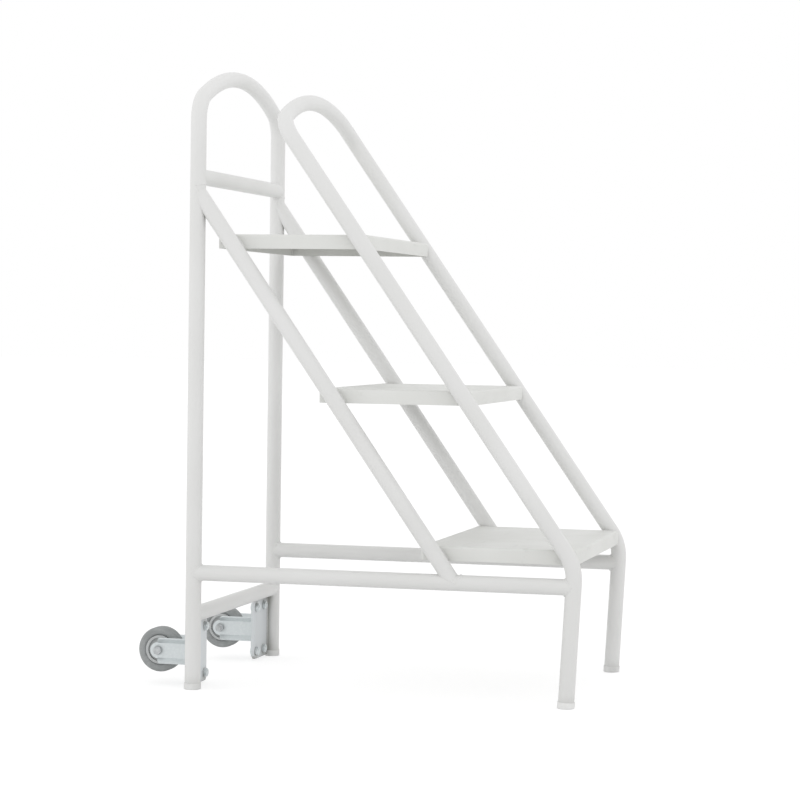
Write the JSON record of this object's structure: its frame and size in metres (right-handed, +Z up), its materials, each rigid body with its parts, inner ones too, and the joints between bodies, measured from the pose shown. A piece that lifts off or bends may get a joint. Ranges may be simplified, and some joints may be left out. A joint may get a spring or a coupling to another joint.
{
  "type": "rolling library step ladder",
  "caption": "Free-standing tubular steel library step ladder with folded treads, two bent hoops and rear casters that roll when it is tipped back.",
  "frame": {"origin": "on the floor, in the middle of the ladder's length and width", "axes": "+Z up, +X towards the side that is climbed from, -Y is the climber's left"},
  "size_m": [0.7289, 0.452, 0.9925],
  "materials": {
    "powder_coat": "fine satin powder coat",
    "tread_coat": "fine satin powder coat",
    "foot_cap": "moulded matte",
    "zinc_plate": "bright zinc plate",
    "axle_steel": "plated bolt steel",
    "wheel_hub": "moulded matte",
    "tyre_rubber": "matte rubber"
  },
  "bodies": {
    "frame": {"rear_hoop": "powder_coat", "front_hoop": "powder_coat", "crossbar_upper": "powder_coat", "crossbar_lower": "powder_coat", "base_rail_left": "powder_coat", "stringer_left": "powder_coat", "caster_mount_left": "powder_coat", "foot_rear_left": "foot_cap", "foot_front_left": "foot_cap", "caster_fork_left": "zinc_plate", "axle_left": "axle_steel", "base_rail_right": "powder_coat", "stringer_right": "powder_coat", "caster_mount_right": "powder_coat", "foot_rear_right": "foot_cap", "foot_front_right": "foot_cap", "caster_fork_right": "zinc_plate", "axle_right": "axle_steel", "step_bottom": "tread_coat", "step_middle": "tread_coat", "step_top": "tread_coat"},
    "wheel_left": {"hub_left": "wheel_hub", "tyre_left": "tyre_rubber"},
    "wheel_right": {"hub_right": "wheel_hub", "tyre_right": "tyre_rubber"}
  },
  "joints": [
    {"name": "wheel_left_spin", "type": "hinge", "parent": "frame", "child": "wheel_left", "pos_m": [-0.32852, -0.158, 0.054], "axis": [0, 1, 0], "continuous": true},
    {"name": "wheel_right_spin", "type": "hinge", "parent": "frame", "child": "wheel_right", "pos_m": [-0.32852, 0.158, 0.054], "axis": [0, 1, 0], "continuous": true}
  ]
}
